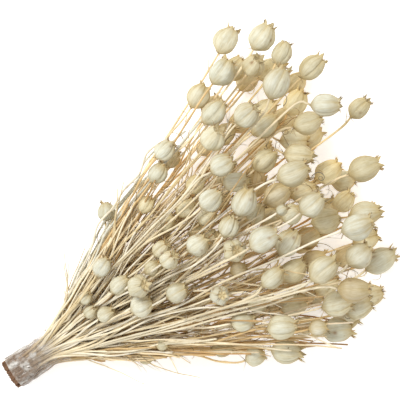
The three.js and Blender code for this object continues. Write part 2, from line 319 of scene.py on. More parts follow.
def bezier(start, start_handle, end_handle, end, count):
    """A cubic curve between two points, drawn towards their handles."""
    share = np.linspace(0, 1, count)[:, None]
    return (
        (1 - share) ** 3 * start + 3 * (1 - share) ** 2 * share * start_handle
        + 3 * (1 - share) * share**2 * end_handle + share**3 * end
    )


def wobble(path, amount, rng):
    """The path with slow sideways bends that fade out at its ends."""
    share = np.linspace(0, 1, len(path))
    fade = np.sin(math.pi * share) ** 0.7
    moved = path.copy()
    for axis, scale in ((1, 1.0), (2, 0.7)):
        for waves in (1, 2, 3.3):
            phase = rng.uniform(0, 2 * math.pi)
            size = amount * scale * rng.uniform(0.3, 1) / waves
            moved[:, axis] += fade * size * np.sin(2 * math.pi * waves * share + phase)
    return moved


def sweep(path, radii, sides):
    """Rings of a round section along a path."""
    tangents = np.gradient(path, axis=0)
    tangents /= np.linalg.norm(tangents, axis=1, keepdims=True) + 1e-12
    mean = path[-1] - path[0]
    guide = np.array([0.0, 0.0, 1.0])
    if abs(mean[2]) > 0.8 * np.linalg.norm(mean):
        guide = np.array([1.0, 0.0, 0.0])
    across = np.cross(tangents, guide)
    across /= np.linalg.norm(across, axis=1, keepdims=True) + 1e-9
    up = np.cross(across, tangents)
    angles = np.linspace(0, 2 * math.pi, sides, endpoint=False)
    ring = np.cos(angles)[None, :, None] * up[:, None] + np.sin(angles)[None, :, None] * across[:, None]
    radii = np.broadcast_to(radii, len(path))
    return path[:, None] + ring * radii[:, None, None]


def tube_grain(rows, sides, along, rng):
    """Grain places that run along a tube."""
    angles = np.linspace(0, 2 * math.pi, sides, endpoint=False)
    seed = rng.uniform(0, 100)
    grain = np.zeros((rows, sides, 3))
    grain[..., 0] = np.cos(angles) + seed
    grain[..., 1] = np.sin(angles)
    grain[..., 2] = (along * 0.03)[:, None]
    return grain


# ---------------------------------------------------------------- pods

# A pod's half width along its length, as shares
OUTLINE_ALONG = [0, 0.03, 0.1, 0.2, 0.33, 0.47, 0.6, 0.73, 0.84, 0.93, 1.0]
OUTLINE_WIDTH = [0.1, 0.24, 0.5, 0.77, 0.95, 1.0, 0.985, 0.91, 0.78, 0.63, 0.52]
POD_ROWS = 34


def lobe_places(sides):
    """Angles round a pod, and where each lies in its lobe: 0 and 1 at the seams, 0.5 at the rib."""
    angles = np.linspace(0, 2 * math.pi, sides, endpoint=False)
    return angles, (angles * LOBES / (2 * math.pi)) % 1.0


def crumple(angles, along, rng):
    """Creases like those of crumpled paper, about -1 to 1, over a pod's wall."""
    around = np.stack([np.cos(angles), np.sin(angles)], axis=-1)
    total = np.zeros((len(along), len(angles)))
    for scale, size in ((2.2, 0.5), (4.0, 0.3), (8.0, 0.2)):
        for _ in range(3):
            lean = rng.normal(size=3)
            lean /= np.linalg.norm(lean)
            place = (around @ lean[:2])[None, :] + 1.6 * lean[2] * along[:, None]
            total += size * (np.abs(np.sin(scale * place + rng.uniform(0, 3.2))) - 0.64)
    return total


def pod_wall(facing, rng):
    """The outer wall: each row's share along it, its radii as shares of half the width, and how
    near each angle is to a seam or a rib. A pod that faces upwards has shallower seams."""
    fine = smooth_path(np.stack([OUTLINE_ALONG, OUTLINE_WIDTH, np.zeros(11)], axis=1), 0.012)
    along = np.linspace(0, 1, POD_ROWS) ** 0.9
    width = np.interp(along, fine[:, 0], fine[:, 1])
    angles, place = lobe_places(POD_SIDES)
    seam = np.exp(-((np.minimum(place, 1 - place) / 0.09) ** 2))
    rib = np.exp(-(((place - 0.5) / 0.045) ** 2))
    vein = np.exp(-(((np.abs(place - 0.5) - 0.24) / 0.03) ** 2))
    swell = np.cos(2 * math.pi * (place - 0.5))
    lobe = (np.arange(POD_SIDES) * LOBES // POD_SIDES) % LOBES
    reach = np.clip(along / 0.2, 0, 1)[:, None]
    depth = rng.uniform(0.02, 0.13, LOBES)[lobe] * (1 - rng.uniform(0, 0.7) * (place > 0.5))
    shell = rng.uniform(-0.12, 0.12, LOBES)[lobe] * (place - 0.5)
    relief = 0.045 * swell + shell + rng.uniform(0.003, 0.014) * vein
    grooves = (1 - 0.7 * facing) * depth[None, :] * seam[None, :] * (0.4 + 0.9 * along[:, None])
    ridges = rng.uniform(0.006, 0.02) * rib[None, :] * (1 + 3.5 * along[:, None] ** 3)
    creases = rng.uniform(0.03, 0.085) * crumple(angles, along, rng)
    radius = width[:, None] * (1 + reach * (relief[None, :] + ridges + creases - grooves))
    for waves in (2, 3, 5, 9, 13, 19, 26):
        size = rng.uniform(0.3, 1) * (0.022 if waves < 4 else 0.007)
        twist, phase = rng.uniform(-3, 3), rng.uniform(0, 2 * math.pi)
        wave = np.cos(waves * angles[None, :] + twist * along[:, None] + phase)
        fade = np.cos(rng.uniform(2, 9) * along[:, None] + rng.uniform(0, 2 * math.pi))
        radius *= 1 + size * wave * (0.5 + 0.5 * fade) * reach
    return along, radius, np.maximum(seam, 0.6 * rib)


def pod_tint(place, rise, along, seam, rng):
    """The wall's colour: its tone, with painted light on its upper side and painted shade below, and
    tanned towards the crown, the base and the seams. rise is -1 at the pod's lowest side and 1 at its
    highest."""
    base, tan = linear(TONES[place["tone"]]), linear(CROWN_TAN)
    angles = np.linspace(0, 2 * math.pi, POD_SIDES, endpoint=False)
    patch = np.zeros((len(along), POD_SIDES))
    for waves in (1, 2, 4):
        patch += np.cos(
            waves * angles[None, :] + rng.uniform(-4, 4) * along[:, None] + rng.uniform(0, 6.3)
        ) / 3
    crown = np.clip((along - 0.6) / 0.5, 0, 1)[:, None] * rng.uniform(0.6, 1.15)
    crown *= 1 - 0.7 * place["facing"]
    foot = np.clip((0.2 - along) / 0.2, 0, 1)[:, None] * 0.6
    seams = seam[None, :] * (0.15 + 0.75 * along[:, None]) * rng.uniform(0.25, 0.6)
    share = np.clip(crown + foot + seams + rng.uniform(0.05, 0.2) * patch, 0, 1)[..., None]
    # Painted light on the wall's upper side and painted shade on its lower side, by how high each point
    # lies on the pod
    painted_light = np.clip(rise - 0.3, 0, 1)[..., None] * rng.uniform(0.3, 0.95)
    side = np.clip(0.6 - rise, 0, 1.1)[..., None] * rng.uniform(0.45, 0.9)
    tint = base * (1 - painted_light) + linear(BLEACHED_AND_PAINTED_LIGHT) * painted_light
    tint = tint * (1 - share) + tan * share
    tint = tint * (1 - side) + linear(PAINTED_SHADE_TAN) * side
    for _ in range(rng.integers(0, 4)):
        turn = np.cos(angles - rng.uniform(0, 2 * math.pi))
        away = (1 - turn)[None, :] * 1.5 + (2 * (along - rng.uniform(0.3, 1.0)))[:, None] ** 2
        scar = (np.exp(-away / rng.uniform(0.004, 0.03)) * rng.uniform(0.2, 0.9))[..., None]
        tint = tint * (1 - scar) + linear(SCAR) * scar
    return tint * rng.uniform(0.93, 1.03)


def pod_crown(length, radius, facing, rng):
    """Rows past the outer wall: the teeth, up and back down, and the star of folds inside them.
    Returns each row's radii and heights by angle."""
    _, place = lobe_places(POD_SIDES)
    lobe = (np.arange(POD_SIDES) * LOBES // POD_SIDES) % LOBES
    tooth = (1 - np.abs(2 * place - 1)) ** 1.4
    height = rng.uniform(0.09, 0.18) * length * rng.uniform(0.4, 1.4, LOBES)[lobe] * tooth
    flare = rng.uniform(-0.05, 0.45) * rng.uniform(0.4, 1.3, LOBES)[lobe] * tooth
    flare *= 1 - 0.8 * facing
    rim = radius[-1]
    fold = 1 - np.abs(2 * place - 1)
    rows = [(rim * (1 + flare * share), length + height * share) for share in (0.4, 0.75, 1.0)]
    rows.append((rim * (0.95 + flare), length + height * 0.95))
    rows.append((rim * (0.82 + 0.4 * flare), length + height * 0.3))
    rows.append((rim * 0.68, length * (0.98 + 0.03 * fold)))
    rows.append((rim * 0.45, length * (0.965 + 0.05 * fold)))
    rows.append((rim * 0.22, length * (0.96 + 0.05 * fold)))
    rows.append((rim * 0.05, np.full(POD_SIDES, length * 0.985)))
    return rows


def crown_tint(wall, facing, rng):
    """The crown's colours: tanned teeth, and pale folds with painted shade in the creases between them.
    """
    _, place = lobe_places(POD_SIDES)
    fold = (1 - np.abs(2 * place - 1))[:, None] ** 0.7
    tan = linear(CROWN_TAN)
    mouth = linear(MOUTH) * rng.uniform(0.8, 1.15)
    # Painted shade in the creases between the star's folds
    star = linear(PAINTED_CREASE_SHADE) * (1 - fold) + mouth * fold
    share = 0.6 - 0.4 * facing
    edge = share * tan + (1 - share) * wall
    return [edge, edge * 0.95, edge * 0.85, edge * 0.8, 0.5 * edge + 0.4 * star, star, star, star, star]


def pod_shape(radii, heights, length, rng):
    """The pod's rows of points about its own axis, slightly squashed and bowed."""
    angles, _ = lobe_places(POD_SIDES)
    squash = rng.uniform(0.93, 1.05)
    spin = rng.uniform(0, 2 * math.pi)
    across, level = radii * np.cos(angles), radii * squash * np.sin(angles)
    shape = np.stack(
        [
            across * math.cos(spin) - level * math.sin(spin),
            across * math.sin(spin) + level * math.cos(spin),
            heights,
        ],
        axis=-1,
    )
    bow = np.sin(math.pi * np.clip(heights / length, 0, 1)) * length
    shape[..., :2] += bow[..., None] * rng.uniform(-0.05, 0.05, 2)
    return shape


def add_pod(piece, place, shade, rng):
    """One seed pod: lobed wall, toothed crown with bristles, and a few filaments at its base."""
    length, half_width = place["length"], place["width"] / 2
    facing = place["facing"]
    along, radius, seam = pod_wall(facing, rng)
    angles, _ = lobe_places(POD_SIDES)
    body = length * 0.94
    crown = pod_crown(length, radius, facing, rng)
    radii = np.concatenate([radius, [row for row, _ in crown]]) * half_width
    wall_heights = np.repeat((along * body)[:, None], POD_SIDES, axis=1)
    crown_heights = np.stack([row for _, row in crown]) - (length - body)
    heights = np.concatenate([wall_heights, crown_heights])
    rings = place["base"] + pod_shape(radii, heights, length, rng) @ place["basis"]
    rise = (rings[:POD_ROWS, :, 2] - place["centre"][2]) / place["half_height"]
    wall_tint = pod_tint(place, rise, along, seam, rng)
    tint = np.concatenate([wall_tint, crown_tint(wall_tint[-1], facing, rng)]) * shade
    seed = rng.uniform(0, 100)
    grain = np.zeros_like(rings)
    grain[..., 0] = np.cos(angles) + seed
    grain[..., 1] = np.sin(angles)
    grain[..., 2] = heights / length * 0.35
    piece.tube(rings, tint, grain, POD_SKIN)
    add_bristles(piece, place, radii[POD_ROWS - 1].mean(), body, rng)
    add_whorl(piece, place, rng)


def add_hair(piece, start, direction, length, thickness, bend, color, rng):
    """One thin curved hair that tapers to its tip."""
    direction = direction / np.linalg.norm(direction)
    side = np.cross(direction, rng.normal(size=3))
    side /= np.linalg.norm(side) + 1e-9
    share = np.linspace(0, 1, 6)[:, None]
    path = start + direction * length * share + side * length * bend * share**2
    path[:, 2] = np.maximum(path[:, 2], thickness)
    radii = thickness * (1 - 0.85 * share[:, 0])
    rings = sweep(path, radii, 4)
    grain = tube_grain(len(path), 4, share[:, 0] * length, rng)
    piece.tube(rings, linear(color), grain, STRAW_SKIN)


def add_bristles(piece, place, rim, body, rng):
    """Stiff spikes and hairs round the crown."""
    for _ in range(rng.integers(12, 22)):
        angle = rng.uniform(0, 2 * math.pi)
        out = np.array([math.cos(angle), math.sin(angle), 0.0])
        root = out * rim * rng.uniform(0.8, 0.98) + [0, 0, body - 0.5]
        start = place["base"] + root @ place["basis"]
        heading = (out * rng.uniform(0.2, 1.6) + [0, 0, 1]) @ place["basis"]
        color = np.minimum(np.array(BRISTLE) * rng.uniform(0.65, 1.25), 255)
        length, thickness = rng.uniform(1.8, 5.4), rng.uniform(0.25, 0.5)
        add_hair(piece, start, heading, length, thickness, rng.uniform(0, 0.35), color, rng)


def add_whorl(piece, place, rng):
    """Curled filaments that stand round the pod's base."""
    for _ in range(rng.integers(2, 6)):
        angle = rng.uniform(0, 2 * math.pi)
        out = np.array([math.cos(angle), math.sin(angle), 0.0])
        start = place["base"] + (out * 0.4) @ place["basis"]
        heading = (out + [0, 0, rng.uniform(-0.6, 0.5)]) @ place["basis"]
        color = np.array(STRAWS[rng.integers(2, 6)]) * rng.uniform(0.7, 0.98)
        add_hair(piece, start, heading, rng.uniform(3, 9), 0.28, rng.uniform(0.2, 0.9), color, rng)


# ---------------------------------------------------------------- where pods and stems lie


def layer_height(layer, reach):
    """The height of a layer's stems, which rises from the wrap to the pods."""
    row, _, head = layer[:3]
    share = np.clip((reach - WAIST) / (FAN_KNEE - WAIST), 0, 1)
    return row + (head - row) * share


def fan_point(bearing, reach, height):
    """The point at a bearing in degrees and a reach from the apex."""
    angle = math.radians(bearing)
    return np.array([reach * math.cos(angle), reach * math.sin(angle), height])


def place_pod(layer, pod, order):
    """A pod's base, axis and size, as the frame places it."""
    bearing, reach, length, width, tone, turn, tip, lift = (*pod, 0, 0, 0)[:8]
    _, _, _, side, room, _ = layer
    share, tip_share = (order * HEIGHT_STEP) % 1, (order * TIP_STEP) % 1
    yaw = math.radians(bearing + turn)
    pitch = math.radians(tip + TIP_RANGE * (2 * tip_share - 1))
    axis = np.array(
        [math.cos(pitch) * math.cos(yaw), math.cos(pitch) * math.sin(yaw), math.sin(pitch)]
    )
    half = math.hypot(length / 2 * math.sin(pitch), width / 2 * math.cos(pitch))
    height = half
    if side > 0:
        free = max(0, room - 2 * half) * share if reach >= FAN_KNEE else 0
        height = layer_height(layer, reach) + STAGGER + MAIN_RADIUS + STEM_CLEAR + half + lift + free
    centre = fan_point(bearing, reach, height)
    level = np.cross([0, 0, 1.0], axis)
    level /= np.linalg.norm(level)
    upright = np.cross(axis, level)
    return {
        "base": centre - axis * length / 2, "axis": axis, "length": length, "width": width,
        "basis": np.stack([level, upright, axis]), "tone": tone, "centre": centre,
        "half_height": half, "facing": max(axis[2], 0),
    }


def stem_tint(path, straw, shade):
    """Straw that darkens to brown at the cut end."""
    share = np.clip((BROWN_START - path[:, 0]) / BROWN_LENGTH, 0, 1)[:, None, None]
    return (linear(straw) * (1 - share) + linear(STEM_BASE) * share) * shade


def add_stem(piece, path, start_radius, end_radius, straw, shade, rng):
    """A round, slightly knotted stem along a path."""
    along = lengths_along(path)
    share = along / along[-1]
    radii = start_radius + (end_radius - start_radius) * share
    knots = np.arange(rng.uniform(15, 40), along[-1] - 4, rng.uniform(32, 55))
    for knot in knots:
        radii = radii * (1 + 0.35 * np.exp(-(((along - knot) / 2.2) ** 2)))
    radii = radii * (1 + 0.06 * np.sin(along * 0.7 + rng.uniform(0, 6)))
    lifted = path.copy()
    lifted[:, 2] = np.maximum(lifted[:, 2], radii + 0.1)
    rings = sweep(lifted, radii, STEM_SIDES)
    grain = tube_grain(len(path), STEM_SIDES, along, rng)
    blotch = 0.97 + 0.07 * np.sin(along / rng.uniform(6, 15) + rng.uniform(0, 6))
    tint = stem_tint(path, straw, shade) * blotch[:, None, None]
    piece.tube(rings, tint, grain, STRAW_SKIN)
    return lifted, knots, along


def add_spurs(piece, path, knots, along, straw, rng):
    """Short broken side twigs at a stem's knots."""
    for knot in knots:
        if knot < 60 or rng.random() < 0.35:
            continue
        i = int(np.searchsorted(along, knot))
        heading = path[min(i + 1, len(path) - 1)] - path[i - 1]
        heading /= np.linalg.norm(heading)
        out = np.cross(heading, rng.normal(size=3))
        out /= np.linalg.norm(out) + 1e-9
        length = rng.choice([2.5, 4, 14, 24])
        color = np.array(straw) * rng.uniform(0.75, 1)
        thickness = 0.5 if length < 10 else 0.38
        add_hair(piece, path[i], heading + 0.6 * out, length, thickness, rng.uniform(0, 0.5), color, rng)


def main_path(layer, index, offset, place, rng):
    """The centreline of a sprig's main stem, from its cut end to its first pod."""
    row, spread, _, _, _, sprigs = layer
    gathered_y = spread * (1 - 2 * index / (len(sprigs) - 1))
    base, axis = place["base"], place["axis"]
    lead_in = base - axis * 14
    bearing = math.degrees(math.atan2(lead_in[1], lead_in[0]))
    far = math.hypot(lead_in[0], lead_in[1])
    reaches = [r for r in (FAN_START, 130, 165, 200, 235, 270) if r < far - 34]
    points = [
        [CUT_END + rng.uniform(-1.5, 1.5), gathered_y, row + offset],
        [5, gathered_y, row + offset],
        [WAIST, gathered_y, row + offset],
    ]
    points += [fan_point(bearing, r, layer_height(layer, r) + offset) for r in reaches]
    points += [lead_in, base + axis * 0.5]
    return wobble(smooth_path(points, STEM_STEP), rng.uniform(1.5, 5.0), rng)


def branch_path(main, place, rng):
    """The centreline of a side branch, which leaves the main stem in a narrow fork."""
    base, axis = place["base"], place["axis"]
    reach = math.hypot(base[0], base[1])
    fork = max(FORK_FIRST, reach - FORK_BACK * rng.uniform(0.75, 1.2))
    i = int(np.argmin(np.abs(np.hypot(main[:, 0], main[:, 1]) - fork)))
    i = min(max(i, 1), len(main) - 2)
    heading = (main[i + 1] - main[i - 1]) / np.linalg.norm(main[i + 1] - main[i - 1])
    span = np.linalg.norm(base - main[i])
    curve = bezier(
        main[i], main[i] + heading * 0.4 * span, base - axis * 0.3 * span, base + axis * 0.5, 24
    )
    return wobble(smooth_path(curve, STEM_STEP), rng.uniform(0.4, 1.4), rng)


def pod_shade(layer_name, centre):
    """The painted light and shade on a pod's colour, as a factor, by its layer and by its place in the
    fan.
    """
    reach = math.hypot(centre[0], centre[1])
    bearing = abs(math.degrees(math.atan2(centre[1], centre[0])))
    outer = np.interp(reach, OUTER_REACHES, (0, 1))
    edge = EDGE_SHARE * np.interp(bearing, EDGE_BEARINGS, (0, 1))
    inner_shade = LAYER_SHADE[layer_name] * (1 + outer * (OUTER_SHADE[layer_name] - 1))
    return inner_shade * (1 - edge) + EDGE_SHADE * edge


def build_sprig(layer_name, index, materials):
    """One branched stem with its pods, in place of its CAD node."""
    layer = LAYERS[layer_name]
    sprigs = layer[5]
    rng = np.random.default_rng([SEED, BOTTOM_TO_TOP.index(layer_name), index])
    first = sum(len(sprig) for sprig in sprigs[:index])
    offset = STAGGER if index % 2 == 0 else -STAGGER
    places = [place_pod(layer, pod, first + i) for i, pod in enumerate(sprigs[index])]
    # Painted light by layer, with painted depth shade on the stems of the lower layers
    shade = LAYER_SHADE[layer_name] * rng.uniform(1.0, 1.12)
    shade = shade * (1 - STEM_SHADE_DEPTH[layer_name] * PAINTED_DEPTH_SHADE)
    straw = STRAWS[rng.integers(0, 5)]
    node = f"sprig_{layer_name}_{index + 1:02d}"
    piece = Piece(f"dried_{node}")
    main = main_path(layer, index, offset, places[0], rng)
    main, knots, along = add_stem(piece, main, rng.uniform(0.75, 0.95), 0.95, straw, shade, rng)
    add_spurs(piece, main, knots, along, straw, rng)
    for place in places[1:]:
        branch = branch_path(main, place, rng)
        add_stem(piece, branch, 1.0, 0.85, straw, shade, rng)
    for place in places:
        add_pod(piece, place, pod_shade(layer_name, place["centre"]), rng)
    return piece.build(materials, node)


# ---------------------------------------------------------------- bare stems and wisps

BARE_PIECES = 10
BARE_PER_PIECE = 40
FAN_EDGES = (-29.0, 22.5)


def fan_height(level, reach):
    """Height at a level of the fan: 0 is the bottom layer and 3 is the top one."""
    heights = [layer_height(LAYERS[name], reach) for name in BOTTOM_TO_TOP]
    return np.interp(level, range(4), heights)


def bare_path(rng):
    """The level and path of a stem without a pod, which crosses its neighbours in the fan."""
    bearing = rng.uniform(*FAN_EDGES)
    edge = abs(bearing) / 28
    level = rng.uniform(0.15 + 0.6 * edge, 3 - 1.2 * edge**2)
    end_bearing = np.clip(bearing + rng.normal(0, 10), *FAN_EDGES)
    end_level = np.clip(level + rng.normal(0, 0.6), 0.3, 3.1 - 1.2 * edge**2)
    longest = 190 if max(bearing, end_bearing) > 17 else 270
    far = rng.uniform(110, longest) if rng.random() < 0.65 else rng.uniform(60, 130)
    angle = rng.uniform(0, 2 * math.pi)
    radius = 12.6 * math.sqrt(rng.random())
    gathered_y = radius * math.cos(angle) * 0.4 + 12.6 * 0.6 * bearing / 28
    gathered_z = WAIST_RADIUS + (level - 1.5) * 5.2 + rng.uniform(-1.5, 1.5)
    points = [[CUT_END + rng.uniform(-1.5, 2), gathered_y, gathered_z], [WAIST, gathered_y, gathered_z]]
    for reach in np.append(np.arange(70, far - 20, 40), far):
        share = (reach - 30) / (far - 30)
        height = fan_height(level + (end_level - level) * share, reach)
        middle = bearing + (end_bearing - bearing) * share
        if middle > 0:  # stems on the upper side spread later
            middle *= np.interp(reach, (60, 120), (0.75, 1))
        points.append(fan_point(middle, reach, height))
    return level, wobble(smooth_path(points, STEM_STEP), rng.uniform(1.0, 4.5), rng)


def build_bare_stems(index, materials):
    """A group of stems that carry no pods, which fill the bunch near the wrap."""
    rng = np.random.default_rng([SEED, 10, index])
    piece = Piece(f"bare_stems_{index + 1}")
    for _ in range(BARE_PER_PIECE):
        level, path = bare_path(rng)
        straw = STRAWS[rng.integers(0, 6)]
        radius = rng.uniform(0.45, 0.9)
        # Painted shade: the lower a stem lies in the bunch, the darker and browner it is painted
        depth = 1 - min(level / 2.6, 1)
        shade = rng.uniform(0.98, 1.18) * (1 - depth * PAINTED_DEPTH_SHADE)
        path, knots, along = add_stem(piece, path, radius, 0.7, straw, shade, rng)
        add_spurs(piece, path, knots, along, straw, rng)
    return piece.build(materials)


TWIG_COUNT = 190


def build_twigs(materials):
    """Thin side twigs that lie across the stems on top of the bunch."""
    rng = np.random.default_rng([SEED, 12])
    piece = Piece("side_twigs")
    for _ in range(TWIG_COUNT):
        bearing = rng.uniform(-24, 24)
        reach = 45 + 175 * rng.random() ** 1.3
        level = rng.uniform(1.8, 3.1) - 1.1 * (abs(bearing) / 28) ** 2
        start = fan_point(bearing, reach, fan_height(level, reach))
        yaw = math.radians(bearing + rng.choice([-1, 1]) * rng.uniform(6, 38))
        length = rng.uniform(22, 70)
        turn = rng.normal(0, 0.25)
        middle = start + 0.5 * length * np.array([math.cos(yaw), math.sin(yaw), 0.12])
        end = middle + 0.5 * length * np.array([math.cos(yaw + turn), math.sin(yaw + turn), 0.12])
        path = wobble(smooth_path([start, middle, end], STEM_STEP), rng.uniform(0.4, 1.5), rng)
        straw = STRAWS[rng.integers(0, 5)]
        add_stem(piece, path, rng.uniform(0.5, 0.95), 0.35, straw, rng.uniform(0.92, 1.04), rng)
    return piece.build(materials)


STRAY_COUNT = 11


def stray_path(rng):
    """A loose stem's centreline, which leaves the fan's upper edge soon after the wrap."""
    out = 7.8 * rng.uniform(0.1, 1)
    level = rng.uniform(1.2, 2.3)
    far = rng.choice([rng.uniform(110, 160), rng.uniform(200, 275)])
    points = [[CUT_END, 9.5, WAIST_RADIUS + (level - 1.5) * 5], [WAIST, 10, WAIST_RADIUS + level]]
    for reach in np.linspace(60, far, 10):
        away = 1 - math.exp(-(((reach - 40) / 35) ** 2))
        bearing = 21 + out * away - 0.025 * max(reach - 120, 0)  # it eases back further on
        points.append(fan_point(bearing + rng.normal(0, 0.6), reach, fan_height(level, reach)))
    return wobble(smooth_path(points, STEM_STEP), rng.uniform(0.8, 2.2), rng)


def build_strays(materials):
    """Loose forked stems along the fan's upper edge."""
    rng = np.random.default_rng([SEED, 13])
    piece = Piece("stray_stems")
    for _ in range(STRAY_COUNT):
        straw = BLEACHED_AND_PAINTED_LIGHT if rng.random() < 0.5 else STRAWS[rng.integers(0, 3)]
        shade = rng.uniform(0.9, 1.0)
        path, knots, along = add_stem(piece, stray_path(rng), 1.0, 0.95, straw, shade, rng)
        add_spurs(piece, path, knots, along, straw, rng)
        fork = rng.integers(len(path) // 4, len(path) // 2)
        heading = path[fork + 1] - path[fork]
        heading /= np.linalg.norm(heading)
        lean = np.array([-heading[1], heading[0], 0.1]) * rng.uniform(-0.25, 0.2)
        length = rng.uniform(30, 60)
        fork_points = [path[fork], path[fork] + (heading + lean) * length * 0.5]
        fork_points.append(path[fork] + (heading + 0.3 * lean) * length)
        twig = wobble(smooth_path(fork_points, STEM_STEP), rng.uniform(0.5, 1.5), rng)
        add_stem(piece, twig, 0.85, 0.6, straw, shade, rng)
    return piece.build(materials)


TOP_STEM_COUNT = 18


def build_top_stems(materials):
    """Thick pale stems that lie over the others, at a slight angle to them."""
    rng = np.random.default_rng([SEED, 14])
    piece = Piece("top_stems")
    for _ in range(TOP_STEM_COUNT):
        bearing = rng.uniform(-25, 22)
        end_bearing = np.clip(bearing + rng.normal(0, 10), *FAN_EDGES)
        far = rng.uniform(110, 235)
        points = [[CUT_END, bearing * 0.35, 24.5], [WAIST, bearing * 0.4, 25.5]]
        for reach in np.append(np.arange(65, far - 20, 40), far):
            middle = bearing + (end_bearing - bearing) * (reach - 30) / (far - 30)
            level = 3.1 - 1.1 * (abs(middle) / 28) ** 2
            points.append(fan_point(middle, reach, fan_height(min(level, 3), reach) + 3))
        path = wobble(smooth_path(points, STEM_STEP), rng.uniform(2, 6), rng)
        straw = STRAWS[rng.integers(0, 3)]
        shade = rng.uniform(0.98, 1.05)
        add_stem(piece, path, rng.uniform(0.75, 1.1), 0.8, straw, shade, rng)
    return piece.build(materials)


WISP_COUNT = 240


def build_wisps(materials):
    """Thin curled threads of dried leaf, caught among the stems."""
    rng = np.random.default_rng([SEED, 11])
    piece = Piece("leaf_wisps")
    for _ in range(WISP_COUNT):
        bearing = rng.uniform(-24, 24)
        reach = rng.uniform(60, 300)
        level = rng.uniform(0.8, 3.0 - 1.2 * (abs(bearing) / 28) ** 2)
        point = fan_point(bearing, reach, fan_height(level, reach))
        yaw = math.radians(bearing + rng.normal(0, 35))
        turn = rng.normal(0, 0.12)
        path = [point]
        for _ in range(rng.integers(6, 13)):
            turn += rng.normal(0, 0.22)
            yaw += turn
            step = np.array([math.cos(yaw), math.sin(yaw), rng.normal(0, 0.25)]) * 2.6
            path.append(path[-1] + step)
        path = smooth_path(path, 1.6)
        path[:, 2] = np.maximum(path[:, 2], 0.6)
        radii = np.linspace(0.4, 0.15, len(path))
        color = np.array(STRAWS[rng.integers(1, 6)]) * rng.uniform(0.55, 1)
        grain = tube_grain(len(path), 4, lengths_along(path), rng)
        piece.tube(sweep(path, radii, 4), linear(color), grain, STRAW_SKIN)
    return piece.build(materials)


# ---------------------------------------------------------------- the wrap

WRAP_SIDES = 120
WRAP_ROWS = 60


def wrap_rings(inset):
    """Points of the crinkled film, from its back edge to its ragged front edge."""
    rings = np.zeros((WRAP_ROWS, WRAP_SIDES, 3))
    for j in range(WRAP_SIDES):
        angle = 2 * math.pi * j / WRAP_SIDES
        ragged = noise.noise(Vector((2.2 * math.cos(angle), 2.2 * math.sin(angle), 5)))
        end = WRAP_END - 3 + 9 * ragged
        for i in range(WRAP_ROWS):
            x = WRAP_START - 3 + (end - WRAP_START + 3) * i / (WRAP_ROWS - 1)
            opening = np.interp(x, (WAIST, WAIST + 1.25 * (WRAP_END - WAIST)), (0, 1.25))
            width = WAIST_RADIUS + (WRAP_END_WIDTH - WAIST_RADIUS) * opening
            height = WAIST_RADIUS + (WRAP_END_HEIGHT - WAIST_RADIUS) * opening
            middle = WAIST_RADIUS + WRAP_END_RISE * opening
            y, z = math.cos(angle), math.sin(angle)
            folds = noise.noise(Vector((x * 0.12, 3 * y, 3 * z)))
            creases = abs(noise.noise(Vector((x * 0.22 + 2 * y, 5 * y + 3, 5 * z))))
            crinkle = 1.5 * folds - 2.2 * creases + 0.2
            waist = 0.06 * math.exp(-(((x - 12) / 9) ** 2))
            tight = 0.93 - waist - np.interp(x, (20, 32), (0, 0.08))
            scale = tight + (crinkle - inset) / WAIST_RADIUS
            rings[i, j] = (x, width * y * scale, max(middle + height * z * scale, 0.05 + inset))
    return rings


def build_wrap(material):
    """The film as a thin crinkled sleeve, which clears towards its front edge."""
    outer, inner = wrap_rings(0.0), wrap_rings(0.12)
    rings = np.concatenate([outer, inner[::-1]])
    rows, sides = rings.shape[:2]
    index = np.arange(rows * sides).reshape(rows, sides)
    after = np.roll(index, -1, axis=1)
    below = np.roll(index, -1, axis=0)
    faces = np.stack([index, after, np.roll(after, -1, axis=0), below], axis=-1).reshape(-1, 4)
    mesh = bpy.data.meshes.new("crinkled_wrap")
    mesh.from_pydata((rings.reshape(-1, 3) * MM + APEX).tolist(), [], faces.tolist())
    mesh.polygons.foreach_set("use_smooth", np.ones(len(faces), bool))
    mesh.update()
    clear = np.clip((rings[..., 0].ravel() - 8) / 24, 0, 0.8)
    cover = mesh.attributes.new("cover", "FLOAT", "POINT")
    cover.data.foreach_set("value", (1 - clear).astype(np.float32))
    wrap = bpy.data.objects.new("crinkled_wrap", mesh)
    bpy.context.scene.collection.objects.link(wrap)
    mesh.materials.append(material)
    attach(wrap, "root")
    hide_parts("wrap_film")
    return wrap


# ---------------------------------------------------------------- materials


class Nodes:
    """A material's node tree, with a short way to add and link nodes."""

    def __init__(self, name):
        self.material = bpy.data.materials.new(name)
        self.material.use_nodes = True
        self.tree = self.material.node_tree
        self.shader = self.tree.nodes["Principled BSDF"]

    def add(self, kind, **settings):
        node = self.tree.nodes.new(kind)
        for key, value in settings.items():
            setattr(node, key, value)
        return node

    def link(self, source, target):
        self.tree.links.new(source, target)

    def noise(self, vector, scale, detail=3.0, roughness=0.6):
        node = self.add("ShaderNodeTexNoise")
        node.inputs["Scale"].default_value = scale
        node.inputs["Detail"].default_value = detail
        node.inputs["Roughness"].default_value = roughness
        self.link(vector, node.inputs["Vector"])
        return node.outputs["Fac"]

    def ramp(self, value, stops):
        node = self.add("ShaderNodeValToRGB")
        elements = node.color_ramp.elements
        while len(elements) < len(stops):
            elements.new(0.5)
        for element, (position, color) in zip(elements, stops):
            element.position = position
            element.color = (*color, 1)
        self.link(value, node.inputs["Fac"])
        return node.outputs["Color"]

    def multiply(self, first, second, share=1.0):
        node = self.add("ShaderNodeMix", data_type="RGBA", blend_type="MULTIPLY")
        node.inputs["Factor"].default_value = share
        self.link(first, node.inputs["A"])
        self.link(second, node.inputs["B"])
        return node.outputs["Result"]

    def bump(self, height, strength, distance):
        node = self.add("ShaderNodeBump")
        node.inputs["Strength"].default_value = strength
        node.inputs["Distance"].default_value = distance
        self.link(height, node.inputs["Height"])
        self.link(node.outputs["Normal"], self.shader.inputs["Normal"])


